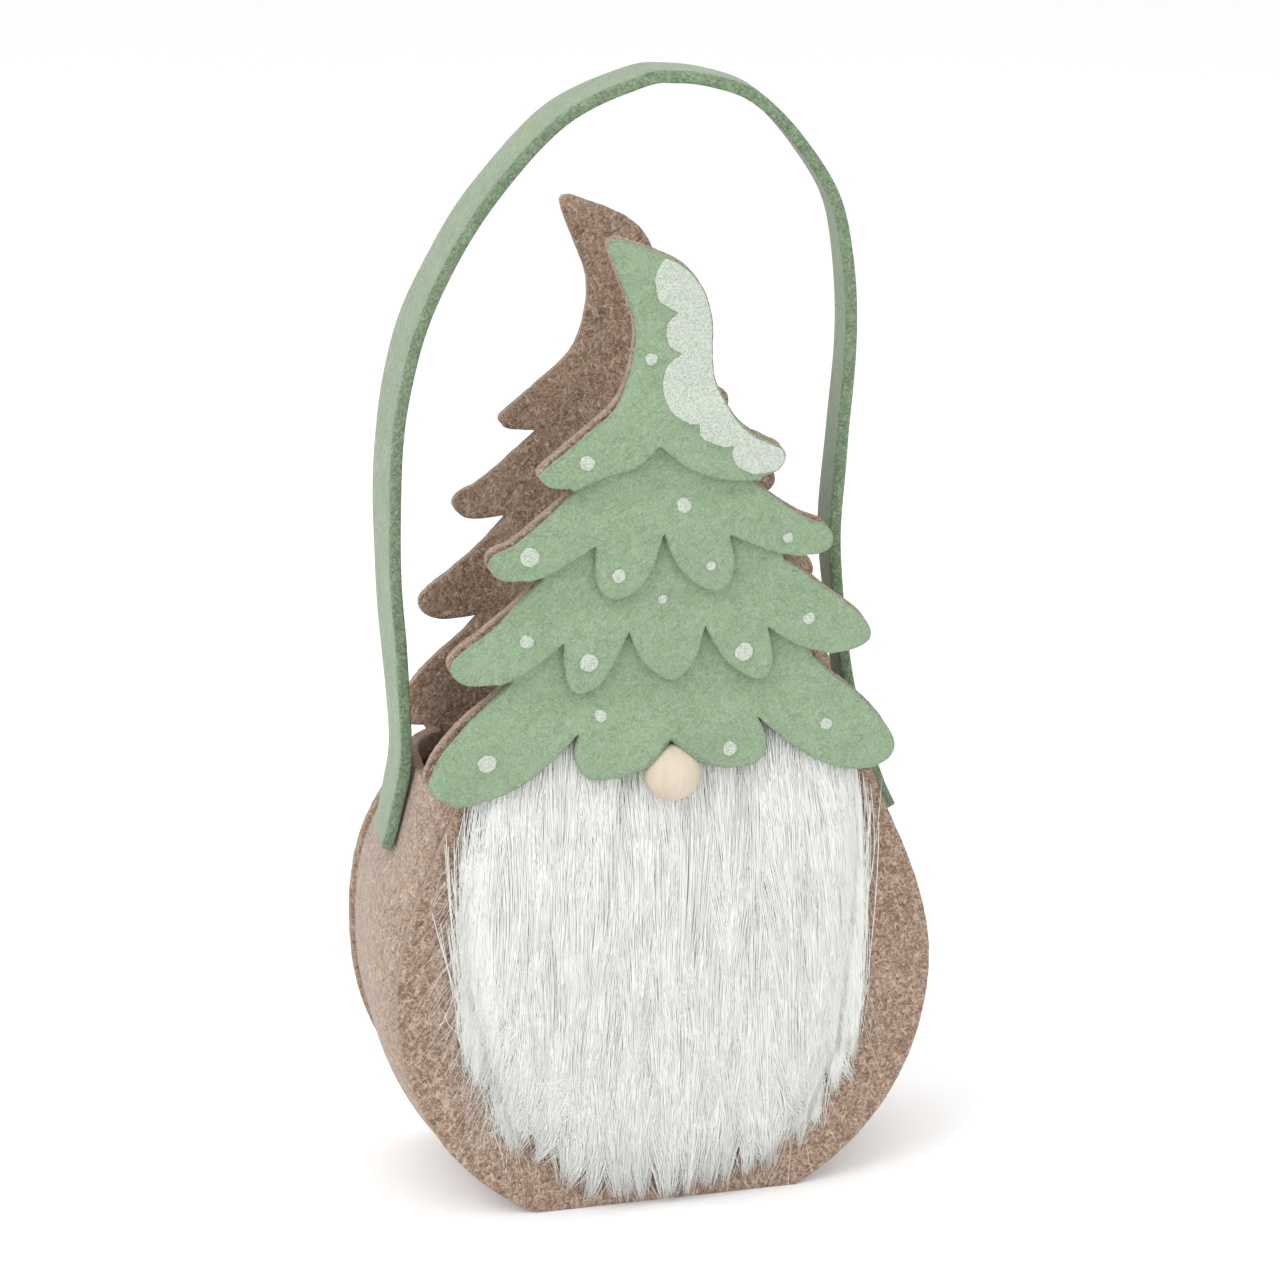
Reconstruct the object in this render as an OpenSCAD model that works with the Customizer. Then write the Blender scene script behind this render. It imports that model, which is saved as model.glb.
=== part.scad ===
// Felt gnome bag: two tree-capped felt panels, a felt strip between them for the
// sides and floor, a green hat of four overlapping tiers, a wooden bead nose,
// a long-pile fur beard and an arched felt strap handle.
// Millimetres, +Z up, the gnome looks along -Y. The origin is the middle of the base.

/* [Panels] */
// Height of both panels, from the base to the curled tip of the hat
panel_h = 302; // [280:1:330]
// Width of the front panel's round belly
belly_w = 165; // [150:1:180]
// How much further out the belly's left side is at the back
flare_left = 7; // [2:0.5:9]
// How much further out the belly's right side is at the back
flare_right = 4; // [0:0.5:6]
// Depth of the bag over both panels
bag_d = 60; // [50:1:80]
// Thickness of the brown felt and of the strap
felt_t = 3.5; // [2:0.1:4]
// Outward lean of each panel's top, in degrees
splay = 2.3; // [0:0.1:4]

/* [Gusset] */
// Height of the gusset strip's two top ends
rim_h = 141; // [138:0.5:146]
// How far the gusset strip sits inside the panels' edges
flange = 1.5; // [0.5:0.5:3]

/* [Hat] */
// Thickness of the green felt tiers
tier_t = 2.5; // [1.5:0.1:3]
// Brown rim left showing around the green tiers
tier_inset = 0.3; // [0:0.1:1.5]

/* [Nose and beard] */
// Diameter of the wooden bead
nose_d = 16.8; // [14:0.1:17.5]
// Thickness of the beard's pile at its fullest
beard_t = 11; // [8:0.5:13]

/* [Handle] */
// Width of the felt strap
strap_w = 20; // [16:1:26]
// Turn of the strap's legs that follows the flare of the gusset, in degrees
strap_turn = 6.5; // [0:0.5:8]

/* [Hidden] */

brown = [0.63, 0.53, 0.45];
light_brown = [0.72, 0.65, 0.59];
green = [0.60, 0.69, 0.56];
pale_green = [0.65, 0.71, 0.62];
wood = [0.89, 0.84, 0.77];
fur_white = [0.87, 0.87, 0.86];

inner_y = bag_d / 2 - felt_t;   // inner faces of the panels
belly_z = 74;                   // height of the widest place
neck_z = 137;                   // where the belly ends below the lowest branch
neck_x = 62.8;                  // half width there
belly_drop = 84;                // height over which the lower belly would close
bend_z = 160;                   // above this height the panels lean apart
tree_x = -2.3;                  // the hat's middle line is a little left of the belly's
curve_steps = 4;                // pieces in each stretch of a smooth curve
seat_gap = 0.3;                 // clearance around the bead
glue_gap = 0.05;                // glue between a tier and the panel
tier_lift = tier_t + 0.1;       // how far a tier stands off where it covers the next one
brim_lift = 4;                  // how far the brim stands off over the beard
bend_at = 151.5;                 // height of the line that the free strap bends about
joint_gap = 0.4;                // clearance between the free strap and its glued ends
pull_z = 115;                   // the strap's pull on the sides starts at this height
rim_left = 72;                  // how far out the middle of the rim is on the left and right
rim_right = 63;

// ---------- curves ----------

function curve_point(a, b, c, d, t) =
    0.5 * ((2 * b) + (c - a) * t + (2 * a - 5 * b + 4 * c - d) * t * t
    + (3 * b - a - 3 * c + d) * t * t * t);

// A smooth curve through every point, with free ends
function smooth(p) =
    let (n = len(p))
    [for (i = [0 : n - 2])
        for (s = [0 : curve_steps - 1])
            curve_point(p[max(i - 1, 0)], p[i], p[i + 1], p[min(i + 2, n - 1)], s / curve_steps),
     p[n - 1]];

function reverse(p) = [for (i = [len(p) - 1 : -1 : 0]) p[i]];
function side_of(p, side, x0) = [for (q = p) [x0 + side * q[0], q[1]]];
function tidy(p) = [for (i = [0 : len(p) - 1]) if (norm(p[i] - p[(i + 1) % len(p)]) > 0.02) p[i]];
function left_normal(v) = [-v[1], v[0]] / norm(v);

// Moves every point of a closed outline inwards; the outline runs anticlockwise
function inset(p, d) =
    let (n = len(p))
    [for (i = [0 : n - 1]) p[i] + d * left_normal(p[(i + 1) % n] - p[(i + n - 1) % n])];

// Moves every point of an open path to its left
function shifted(p, d) =
    let (n = len(p))
    [for (i = [0 : n - 1]) p[i] + d * left_normal(p[min(i + 1, n - 1)] - p[max(i - 1, 0)])];

// ---------- outlines ----------

// Half width of the belly at height z; full = 1 gives the fuller shoulder of the back
function belly_x(z, hw, full) =
    z < belly_z
    ? hw * pow(1 - pow((belly_z - z) / belly_drop, 2.1), 1 / 2.1)
    : neck_x + (hw - neck_x)
        * pow(1 - pow(min((z - belly_z) / (neck_z - belly_z), 1), 1.8 + 0.8 * full), 1.25 - 0.35 * full);

belly_levels = [for (i = [0 : 30]) neck_z * (1 - cos(6 * i)) / 2];
function belly_edge(hw, full) = [for (z = belly_levels) [belly_x(z, hw, full), z]];

// Branches as half-outlines from the hat's middle line: out along the top, round the
// tip and back along the underside to the notch
branch_2 = [[25, 231.8], [34, 224.3], [43.5, 216.8], [49.5, 214], [51.6, 211], [49.5, 207.3],
            [45, 205.4], [35.3, 206]];
branch_3 = [[35.3, 206], [43.4, 197.6], [52, 190.5], [60, 184.7], [62.8, 180.8], [61, 176.8],
            [55.5, 174.6], [44.5, 175.3]];
branch_4 = [[44.5, 175.3], [50, 169.8], [58.5, 163], [66, 155], [70, 147.5], [69.3, 143.8],
            [66.3, 141.6], [62, 141]];
// On the right the branches sit a little higher
right_2 = [[24.8, 231.8], [33, 224.8], [41.3, 219.5], [46.8, 217], [49.2, 213.4], [48.3, 210],
           [45, 208.2], [39.5, 207.9], [35.3, 207.6]];
right_3 = [[35.3, 207.6], [44, 200.4], [52.4, 193.6], [59, 188.2], [61.6, 183.4], [60.2, 179.8],
           [55.5, 177.8], [50, 177.2], [45, 177]];
right_4 = [[45, 177], [50, 171], [58.5, 163.6], [66, 155.6], [69.5, 149], [69, 144.8],
           [66.3, 142.2], [62, 141]];
// The top of the hat, from the right notch over the curled tip to the left notch
hat_top = [[22.7, 231.8], [29, 233.6], [31.6, 236], [32, 239], [30.6, 241.3], [27, 243], [22.2, 245.6],
           [17.8, 250], [14, 256], [11.7, 262], [11, 268], [11, 274], [10.4, 280], [8.4, 286.4],
           [4.2, 292.4], [-1.5, 296.4], [-13.3, 301.2], [-17.3, 302], [-19.3, 299.8], [-15.3, 288.5],
           [-11.3, 275], [-15.5, 257.5], [-26.4, 247], [-38, 237.6], [-38.6, 234.8], [-35.8, 232.6],
           [-27.3, 231.8]];

function tall(p) = [for (q = p) [q[0], q[1] <= neck_z ? q[1]
    : neck_z + (q[1] - neck_z) * (panel_h - neck_z) / (302 - neck_z)]];

function panel_outline(hw_left, hw_right, full_left) = tidy(concat(
    belly_edge(hw_right, 0),
    tall(side_of(reverse(smooth(right_4)), 1, tree_x)),
    tall(side_of(reverse(smooth(right_3)), 1, tree_x)),
    tall(side_of(reverse(smooth(right_2)), 1, tree_x)),
    tall(smooth(hat_top)),
    tall(side_of(smooth(branch_2), -1, tree_x)),
    tall(side_of(smooth(branch_3), -1, tree_x)),
    tall(side_of(smooth(branch_4), -1, tree_x)),
    reverse(side_of(belly_edge(hw_left, full_left), -1, 0))
));

front_outline = panel_outline(belly_w / 2, belly_w / 2, 0);
back_outline = panel_outline(belly_w / 2 + flare_left, belly_w / 2 + flare_right, 1);

// Lower edges of the tiers, left to right; each list is one scallop between two notches
edge_top = [
    [[-29, 231.4], [-22.3, 234.3], [-11, 237.6], [-4.7, 243.3]],
    [[-4.7, 243.3], [1, 238], [7, 234.4], [15, 232.1], [24.5, 231.4]]];
edge_upper = [
    [[-41.5, 205.5], [-36.5, 207.2], [-28.8, 211.2], [-22.9, 214.8]],
    [[-22.9, 214.8], [-23, 205.6], [-20.8, 200.2], [-16.5, 198.5], [-10.7, 201], [-6.4, 207.4], [-3.3, 217.4]],
    [[-3.3, 217.4], [-0.6, 210], [4, 203.5], [11.2, 199], [15.8, 201], [17.5, 207.3], [15.9, 215.8]],
    [[15.9, 215.8], [23, 212.4], [29.5, 209.6], [37, 207.9]]];
edge_lower = [
    [[-51, 174.7], [-45.5, 176.6], [-38.6, 181], [-32.1, 186.3]],
    [[-32.1, 186.3], [-32, 178.5], [-30.4, 172], [-26.4, 170.3], [-19.6, 175], [-13.2, 188.3]],
    [[-13.2, 188.3], [-9.1, 178.8], [-0.4, 172.6], [6.4, 178.5], [9.1, 188.8]],
    [[9.1, 188.8], [14.5, 178.6], [22, 172.2], [27.4, 171.2], [29.6, 177.5], [27.7, 187.2]],
    [[27.7, 187.2], [33, 183], [39.2, 179.6], [47, 177.3]]];
edge_brim = [
    [[-65.5, 139.6], [-60, 139.2], [-54, 140.3], [-46, 143.4], [-38.5, 148.4], [-32, 154.6], [-28, 158.6]],
    [[-28, 158.6], [-29.2, 154], [-29, 149.5], [-26.4, 145], [-21, 143.8], [-14.6, 145], [-9.4, 148.6],
     [-5.5, 152.6], [-1.7, 156]],
    [[-1.7, 156], [4, 151.5], [9.2, 147.5], [15.3, 144.9], [21.5, 144.7], [26, 146.4], [27.8, 150.6],
     [26.8, 156], [25, 159.6]],
    [[25, 159.6], [31, 154], [37.5, 148.6], [43.8, 144.5], [50.1, 141.8], [56.4, 140.7], [61, 141]]];

function joined(edges) = tidy([for (e = edges) each tall(smooth(e))]);

// ---------- felt pieces ----------

// How far forward each panel has leaned at height z
function lean(z) = max(z - bend_z, 0) * tan(splay);

// A sheet cut to the outline of its children and bent along a route of [distance in
// front of the bag's middle, height] points, which is the sheet's back face from the bottom up
module bent_felt(route, t) {
    intersection() {
        rotate([90, 0, 0])
            linear_extrude(height = bag_d)
                children();
        translate([120, 0, 0])
            rotate([90, 0, -90])
                linear_extrude(height = 240)
                    polygon(concat(route, reverse(shifted(route, -t))));
    }
}

panel_route = [[inner_y, 0], [inner_y, bend_z], [inner_y + lean(panel_h + 5), panel_h + 5]];

module front_panel() {
    color(brown)
        bent_felt(panel_route, felt_t)
            polygon(front_outline);
}

module back_panel() {
    color(brown)
        mirror([0, 1, 0])
            bent_felt(panel_route, felt_t)
                polygon(back_outline);
}

// ---------- gusset strip ----------

// Share of the flare that is reached at depth y
function flare_share(y) = 1 - pow((inner_y - y) / (2 * inner_y), 6);

// Outer face of the strip before the strap pulls on it
function loose_x(z, y, flare, full) =
    belly_x(z, belly_w / 2, 0) * (1 - flare_share(y))
    + belly_x(z, belly_w / 2 + flare, full) * flare_share(y) - flange * min(z / 15, 1);

// Above pull_z the strap draws the middle of each side out to a straight line up to rim_x
function gusset_x(z, y, flare, full, rim_x) =
    let (start = loose_x(pull_z, y, flare, full),
         taut = start + (rim_x - start) * max(z - pull_z, 0) / (rim_h - pull_z),
         share = 1 - pow(abs(y) / inner_y, 4))
    z < pull_z ? loose_x(z, y, flare, full) : loose_x(z, y, flare, full) * (1 - share) + taut * share;

gusset_levels = [for (z = belly_levels) if (z < neck_z - 1) z];

// The strip's outer face at depth y, from its right end down round the belly to its left end
function gusset_path(y) =
    let (right = [for (z = concat(gusset_levels, [rim_h])) [gusset_x(z, y, flare_right, 0, rim_right), z]],
         left = [for (z = concat(gusset_levels, [rim_h])) [-gusset_x(z, y, flare_left, 1, rim_left), z]])
    concat(reverse(right), [[0, 0]], left);

module gusset_strip() {
    depths = [-1, -0.85, -0.62, -0.38, 0, 0.38, 0.75, 1] * inner_y;
    outer = [for (y = depths) gusset_path(y)];
    inner = [for (p = outer) shifted(p, -felt_t)];
    n = len(outer[0]);
    m = len(depths);
    ring = 2 * m;
    // each station is a ring of points: along the outside to the back, then the inside to the front
    points = [for (i = [0 : n - 1]) each concat(
        [for (k = [0 : m - 1]) [outer[k][i][0], depths[k], max(outer[k][i][1], 0)]],
        [for (k = [m - 1 : -1 : 0]) [inner[k][i][0], depths[k], inner[k][i][1]]])];
    sides = [for (i = [0 : n - 2]) for (k = [0 : ring - 1])
        let (a = i * ring + k, b = i * ring + (k + 1) % ring) each [[a, b, b + ring], [a, b + ring, a + ring]]];
    caps = [for (k = [0 : m - 2]) each [
        [ring - 1 - k, k + 1, k], [ring - 1 - k, ring - 2 - k, k + 1],
        [(n - 1) * ring + k, (n - 1) * ring + k + 1, n * ring - 1 - k],
        [(n - 1) * ring + k + 1, n * ring - 2 - k, n * ring - 1 - k]]];
    color(light_brown)
        polyhedron(points, concat(sides, caps), convexity = 10);
}

// ---------- hat tiers ----------

// A tier lies on the panel above rise_z + rise_h, and below rise_z it is lifted over the
// next piece down
module tier(edges, top_z, tab_left, tab_right, notch_z, rise_z, rise_h, lift) {
    low = joined(edges);
    base = bag_d / 2 + glue_gap;
    route = [[base + lean(low[0][1] - 10) + lift, low[0][1] - 10], [base + lean(rise_z) + lift, rise_z],
             [base + lean(rise_z + rise_h), rise_z + rise_h], [base + lean(panel_h), panel_h]];
    band = concat([[-90, low[0][1]]], low, [[90, low[len(low) - 1][1]], [90, notch_z],
        [tab_right, notch_z], [tab_right - 2, notch_z + 6], [tab_right - 8, top_z],
        [tab_left + 8, top_z], [tab_left + 2, notch_z + 6], [tab_left, notch_z], [-90, notch_z]]);
    bent_felt(route, tier_t)
        intersection() {
            polygon(inset(front_outline, tier_inset));
            polygon(band);
        }
}

module hat_tier_top() {
    color(green)
        tier(edge_top, 400, -90, 90, 231, 251, 9, tier_lift);
}

module hat_tier_upper() {
    color(green)
        tier(edge_upper, 250, -27.3, 22.7, 231.8, 222, 8, tier_lift);
}

module hat_tier_lower() {
    color(green)
        tier(edge_lower, 221, -37.6, 33, 206.5, 191, 6, tier_lift);
}

module hat_brim() {
    color(green)
        difference() {
            tier(edge_brim, 190, -46.8, 42.5, 176, 159, 10, brim_lift);
            nose_ball(seat_gap);
        }
}

// ---------- nose and beard ----------

nose_at = [-1, -bag_d / 2 - nose_d / 2, 145.7];

module nose_ball(grow) {
    translate(nose_at)
        sphere(d = nose_d + 2 * grow, $fn = 64);
}

module nose_bead() {
    color(wood)
        nose_ball(0);
}

beard_outline = concat(
    [[55, 158], [-56, 158]],
    smooth([[-57, 140], [-63, 122], [-64, 105], [-62.5, 80], [-57, 55], [-48, 34], [-34, 12], [-22, 4]]),
    smooth([[30, 4], [42, 20], [53, 42], [57.5, 66], [59, 95], [58, 138]]));
// Thickness against height: thin under the brim, full in the middle, thin at the hem
beard_profile = [[0, 158], [2.5, 158], [2.8, 138], [0.8 * beard_t, 128], [beard_t, 105],
                 [beard_t, 60], [0.7 * beard_t, 25], [0.3 * beard_t, 4], [0, 4]];

module beard() {
    color(fur_white)
        difference() {
            intersection() {
                rotate([90, 0, 0])
                    linear_extrude(height = bag_d)
                        polygon(beard_outline);
                translate([100, -bag_d / 2, 0])
                    rotate([90, 0, -90])
                        linear_extrude(height = 200)
                            polygon(beard_profile);
            }
            nose_ball(seat_gap);
        }
}

// ---------- handle ----------

// Middle line of the strap, from its left glued end over the top to its right one
strap_route = [[-81.5, 116.5], [-79.8, 122], [-78.3, 128.5], [-76.9, 134.5], [-75.8, 140], [-75.3, 147],
               [-75.6, 160], [-76.6, 180], [-77.4, 205], [-76.6, 232], [-73, 257], [-65.3, 280],
               [-49, 307], [-27, 330], [-4.4, 340.3], [7, 341.3], [18.5, 339.4], [30, 334.8],
               [42, 323.5], [53.5, 306.5], [58.2, 288.5], [59.6, 263], [57.6, 233], [56, 205],
               [58, 181], [61.2, 158], [65, 142], [68.2, 133], [71.4, 124], [74.8, 116.5]];

// A flat strap swept along a path in the XZ plane; its width runs front to back, and turns
// on the legs so that both open towards the back
module whole_strap() {
    path = smooth(strap_route);
    n = len(path);
    points = [for (i = [0 : n - 1])
        let (out = left_normal(path[min(i + 1, n - 1)] - path[max(i - 1, 0)]),
             turn = strap_turn * min(max((path[i][1] - 120) / 60, 0), 1),
             wide = [out[0] * tan(turn), 1] * strap_w / 2,
             thick = out * felt_t / 2)
        for (c = [[-1, -1], [-1, 1], [1, 1], [1, -1]])
            [path[i][0] + c[0] * wide[0] + c[1] * thick[0], c[0] * wide[1], path[i][1] + c[1] * thick[1]]];
    sides = [for (i = [0 : n - 2]) for (k = [0 : 3])
        let (a = 4 * i + k, b = 4 * i + (k + 1) % 4) each [[a, a + 4, b + 4], [a, b + 4, b]]];
    caps = [[0, 1, 2], [0, 2, 3], [4 * n - 1, 4 * n - 2, 4 * n - 3], [4 * n - 1, 4 * n - 3, 4 * n - 4]];
    polyhedron(points, concat(sides, caps), convexity = 10);
}

// A round bar along X about the line that the strap bends on
module bend_bar(r) {
    translate([-100, 0, bend_at])
        rotate([0, 90, 0])
            cylinder(r = r, h = 200, $fn = 96);
}

// side = -1 for the left glued end, 1 for the right one
module glued_end(side) {
    color(pale_green)
        difference() {
            intersection() {
                whole_strap();
                translate([side > 0 ? 40 : -100, -20, 100])
                    cube([60, 40, bend_at - 100]);
            }
            bend_bar(strap_w / 2 + joint_gap);
        }
}

module handle_end_left() {
    glued_end(-1);
}

module handle_end_right() {
    glued_end(1);
}

module handle_strap() {
    color(pale_green)
        intersection() {
            whole_strap();
            union() {
                translate([-100, -20, bend_at])
                    cube([200, 40, 250]);
                bend_bar(strap_w / 2);
            }
        }
}

front_panel();
back_panel();
gusset_strip();
hat_tier_top();
hat_tier_upper();
hat_tier_lower();
hat_brim();
nose_bead();
beard();
handle_end_left();
handle_end_right();
handle_strap();
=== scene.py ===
"""Felt gnome bag. Every felt piece is a sheet cut to an outline and bent over a surface; the
beard is a backing with thousands of combed strands. Lengths are millimetres until a mesh is
made, and the frame is the part's own: +Z up, the gnome looks along -Y."""

import math

import bpy
import numpy as np
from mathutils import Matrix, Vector, noise
from mathutils.geometry import delaunay_2d_cdt


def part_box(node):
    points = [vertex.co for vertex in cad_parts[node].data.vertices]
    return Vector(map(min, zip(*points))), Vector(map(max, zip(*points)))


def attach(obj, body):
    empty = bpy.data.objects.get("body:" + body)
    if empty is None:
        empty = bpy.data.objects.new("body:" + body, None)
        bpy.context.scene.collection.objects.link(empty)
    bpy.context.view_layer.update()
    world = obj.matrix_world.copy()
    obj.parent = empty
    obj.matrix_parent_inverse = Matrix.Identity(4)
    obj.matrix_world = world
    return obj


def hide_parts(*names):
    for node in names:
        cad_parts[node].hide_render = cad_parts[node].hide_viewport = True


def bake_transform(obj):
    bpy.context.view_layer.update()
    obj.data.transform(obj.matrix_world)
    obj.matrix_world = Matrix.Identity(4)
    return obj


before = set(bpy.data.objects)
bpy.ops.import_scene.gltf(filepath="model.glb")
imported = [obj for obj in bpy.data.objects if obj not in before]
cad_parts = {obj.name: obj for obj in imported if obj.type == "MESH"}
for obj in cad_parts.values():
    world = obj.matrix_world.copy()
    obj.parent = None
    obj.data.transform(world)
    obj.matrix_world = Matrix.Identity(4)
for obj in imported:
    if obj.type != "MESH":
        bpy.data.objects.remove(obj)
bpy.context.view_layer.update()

MM = 0.001

# ---------------------------------------------------------------- sizes shared with the part
INNER_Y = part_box("gusset_strip")[1][1] / MM        # inner faces of the panels
FELT = 3.5                                         # thickness of brown felt and strap
TIER = 2.5                                         # thickness of the green tiers
BAG_Y = INNER_Y + FELT                             # outer faces of the panels
PANEL_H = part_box("front_panel")[1][2] / MM
HALF_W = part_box("front_panel")[1][0] / MM          # half width of the front's belly
FLARE_LEFT = 7                                     # how much wider the back's belly is, each side
FLARE_RIGHT = 4
BELLY_Z = 74                                       # height of the belly's widest place
NECK_Z = 137                                       # height and half width of its top
NECK_X = 62.8
BELLY_DROP = 84                                    # how far down the belly's lower curve would close
BEND_Z = 160                                       # above this the panels lean outwards
SPLAY = math.tan(math.radians(2.3))                # by this much for each mm of height
TREE_X = -2.3                                      # middle line of the tree
RIM_H = 141                                        # height of the gusset's rim
FLANGE = 1.5                                       # how far the gusset sits inside the panels' edges
PULL_Z = 115                                       # above this the strap draws the gusset straight
RIM_LEFT = 72                                      # half widths of the rim's middle
RIM_RIGHT = 63
NOSE_R = 8.4
NOSE = (-1, -BAG_Y - NOSE_R, 145.7)                # middle of the bead
TIER_INSET = 0.3                                   # how far the tiers stop short of the panel's edge
STRAP_W = 20
STRAP_TURN = 6.5                                   # how far the strap's legs turn, degrees


# ---------------------------------------------------------------- curves and outlines
def smooth(points, steps=5):
    """A smooth curve through every point, with free ends."""
    out = []
    n = len(points)
    for i in range(n - 1):
        a, b, c, d = (np.array(points[min(max(j, 0), n - 1)], float) for j in range(i - 1, i + 3))
        for s in range(steps):
            t = s / steps
            out.append(0.5 * (2 * b + (c - a) * t + (2 * a - 5 * b + 4 * c - d) * t * t
                              + (3 * b - a - 3 * c + d) * t ** 3))
    out.append(np.array(points[-1], float))
    return out


def side_of(points, side, x0=0.0):
    return [np.array((x0 + side * p[0], p[1])) for p in points]


def belly_x(z, hw, full):
    """Half width of the belly at height z; full = 1 is the back's fuller shoulder."""
    if z < BELLY_Z:
        return hw * (1 - ((BELLY_Z - z) / BELLY_DROP) ** 2.1) ** (1 / 2.1)
    t = min((z - BELLY_Z) / (NECK_Z - BELLY_Z), 1)
    return NECK_X + (hw - NECK_X) * (1 - t ** (1.8 + 0.8 * full)) ** (1.25 - 0.35 * full)


LEVELS = [NECK_Z * (1 - math.cos(math.pi * i / 48)) / 2 for i in range(49)]


def belly_edge(hw, full):
    return [np.array((belly_x(z, hw, full), z)) for z in LEVELS]


BRANCH_2 = [(25, 231.8), (34, 224.3), (43.5, 216.8), (49.5, 214), (51.6, 211), (49.5, 207.3),
            (45, 205.4), (35.3, 206)]
BRANCH_3 = [(35.3, 206), (43.4, 197.6), (52, 190.5), (60, 184.7), (62.8, 180.8), (61, 176.8),
            (55.5, 174.6), (44.5, 175.3)]
BRANCH_4 = [(44.5, 175.3), (50, 169.8), (58.5, 163), (66, 155), (70, 147.5), (69.3, 143.8),
            (66.3, 141.6), (62, 141)]
# On the right the branches sit a little higher
RIGHT_2 = [(24.8, 231.8), (33, 224.8), (41.3, 219.5), (46.8, 217), (49.2, 213.4), (48.3, 210),
           (45, 208.2), (39.5, 207.9), (35.3, 207.6)]
RIGHT_3 = [(35.3, 207.6), (44, 200.4), (52.4, 193.6), (59, 188.2), (61.6, 183.4), (60.2, 179.8),
           (55.5, 177.8), (50, 177.2), (45, 177)]
RIGHT_4 = [(45, 177), (50, 171), (58.5, 163.6), (66, 155.6), (69.5, 149), (69, 144.8),
           (66.3, 142.2), (62, 141)]
HAT_TOP = [(22.7, 231.8), (29, 233.6), (31.6, 236), (32, 239), (30.6, 241.3), (27, 243), (22.2, 245.6),
           (17.8, 250), (14, 256), (11.7, 262), (11, 268), (11, 274), (10.4, 280), (8.4, 286.4),
           (4.2, 292.4), (-1.5, 296.4), (-13.3, 301.2), (-17.3, 302), (-19.3, 299.8), (-15.3, 288.5),
           (-11.3, 275), (-15.5, 257.5), (-26.4, 247), (-38, 237.6), (-38.6, 234.8), (-35.8, 232.6),
           (-27.3, 231.8)]


def panel_outline(hw_left, hw_right, full_left):
    """Anticlockwise, from the right end of the base."""
    out = belly_edge(hw_right, 0)
    for branch in (RIGHT_4, RIGHT_3, RIGHT_2):
        out += side_of(smooth(branch)[::-1], 1, TREE_X)
    out += smooth(HAT_TOP)
    for branch in (BRANCH_2, BRANCH_3, BRANCH_4):
        out += side_of(smooth(branch), -1, TREE_X)
    return out + side_of(belly_edge(hw_left, full_left)[::-1], -1)


EDGE_TOP = [
    [(-29, 231.4), (-22.3, 234.3), (-11, 237.6), (-4.7, 243.3)],
    [(-4.7, 243.3), (1, 238), (7, 234.4), (15, 232.1), (24.5, 231.4)]]
EDGE_UPPER = [
    [(-41.5, 205.5), (-36.5, 207.2), (-28.8, 211.2), (-22.9, 214.8)],
    [(-22.9, 214.8), (-23, 205.6), (-20.8, 200.2), (-16.5, 198.5), (-10.7, 201), (-6.4, 207.4),
     (-3.3, 217.4)],
    [(-3.3, 217.4), (-0.6, 210), (4, 203.5), (11.2, 199), (15.8, 201), (17.5, 207.3), (15.9, 215.8)],
    [(15.9, 215.8), (23, 212.4), (29.5, 209.6), (37, 207.9)]]
EDGE_LOWER = [
    [(-51, 174.7), (-45.5, 176.6), (-38.6, 181), (-32.1, 186.3)],
    [(-32.1, 186.3), (-32, 178.5), (-30.4, 172), (-26.4, 170.3), (-19.6, 175), (-13.2, 188.3)],
    [(-13.2, 188.3), (-9.1, 178.8), (-0.4, 172.6), (6.4, 178.5), (9.1, 188.8)],
    [(9.1, 188.8), (14.5, 178.6), (22, 172.2), (27.4, 171.2), (29.6, 177.5), (27.7, 187.2)],
    [(27.7, 187.2), (33, 183), (39.2, 179.6), (47, 177.3)]]
EDGE_BRIM = [
    [(-65.5, 139.6), (-60, 139.2), (-54, 140.3), (-46, 143.4), (-38.5, 148.4), (-32, 154.6),
     (-28, 158.6)],
    [(-28, 158.6), (-29.2, 154), (-29, 149.5), (-26.4, 145), (-21, 143.8), (-14.6, 145), (-9.4, 148.6),
     (-5.5, 152.6), (-1.7, 156)],
    [(-1.7, 156), (4, 151.5), (9.2, 147.5), (15.3, 144.9), (21.5, 144.7), (26, 146.4), (27.8, 150.6),
     (26.8, 156), (25, 159.6)],
    [(25, 159.6), (31, 154), (37.5, 148.6), (43.8, 144.5), (50.1, 141.8), (56.4, 140.7), (61, 141)]]


# ---------------------------------------------------------------- flat geometry
def run_along(line):
    """Distance of each point from the first, measured along the line."""
    return np.concatenate([[0], np.cumsum(np.hypot(*np.diff(line, axis=0).T))])


def resample(outline, step):
    """Evenly spaced points round a closed outline."""
    p = np.array(outline)
    p = np.vstack([p, p[:1]])
    run = run_along(p)
    n = max(int(run[-1] / step), 8)
    at = np.arange(n) * run[-1] / n
    return np.column_stack([np.interp(at, run, p[:, 0]), np.interp(at, run, p[:, 1])])


def inward(ring):
    """The inward normal at each point of an anticlockwise ring."""
    d = np.roll(ring, -1, axis=0) - np.roll(ring, 1, axis=0)
    d /= np.maximum(np.hypot(d[:, 0], d[:, 1]), 1e-9)[:, None]
    return np.column_stack([-d[:, 1], d[:, 0]])


def inside(ring, pts):
    """Which of the points lie inside the ring."""
    x, y = pts[:, 0], pts[:, 1]
    odd = np.zeros(len(pts), bool)
    for (x0, y0), (x1, y1) in zip(ring, np.roll(ring, -1, axis=0)):
        cross = (y0 > y) != (y1 > y)
        odd ^= cross & (x < (x1 - x0) * (y - y0) / (y1 - y0 + 1e-12) + x0)
    return odd


def clear_of(ring, pts, gap):
    """Which of the points are more than gap away from the ring's points."""
    d = np.full(len(pts), 1e9)
    for q in ring:
        d = np.minimum(d, np.hypot(pts[:, 0] - q[0], pts[:, 1] - q[1]))
    return d > gap


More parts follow.
